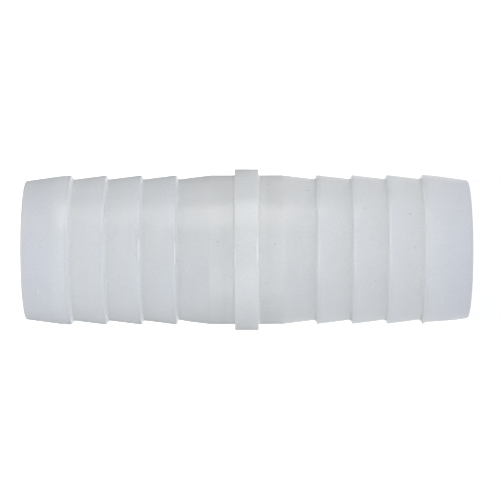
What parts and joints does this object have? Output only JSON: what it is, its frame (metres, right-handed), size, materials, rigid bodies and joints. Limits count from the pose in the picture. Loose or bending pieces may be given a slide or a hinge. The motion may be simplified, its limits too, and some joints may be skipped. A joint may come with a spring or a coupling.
{
  "type": "hose mender",
  "caption": "Straight hose mender moulded in one piece: barbed spigots at both ends, plain barrel with a square stop collar, and a through bore.",
  "frame": {"origin": "centre of the lower end face, where the bore's axis meets the surface that the part stands on", "axes": "+Z along the bore's axis, up; X lies in the mould's parting plane, and -X is the side with the blade cuts"},
  "size_m": [0.0292, 0.0292, 0.08],
  "materials": {
    "natural_nylon": "natural milky nylon, satin as moulded"
  },
  "bodies": {
    "root": {"hose_mender": "natural_nylon"}
  },
  "joints": []
}
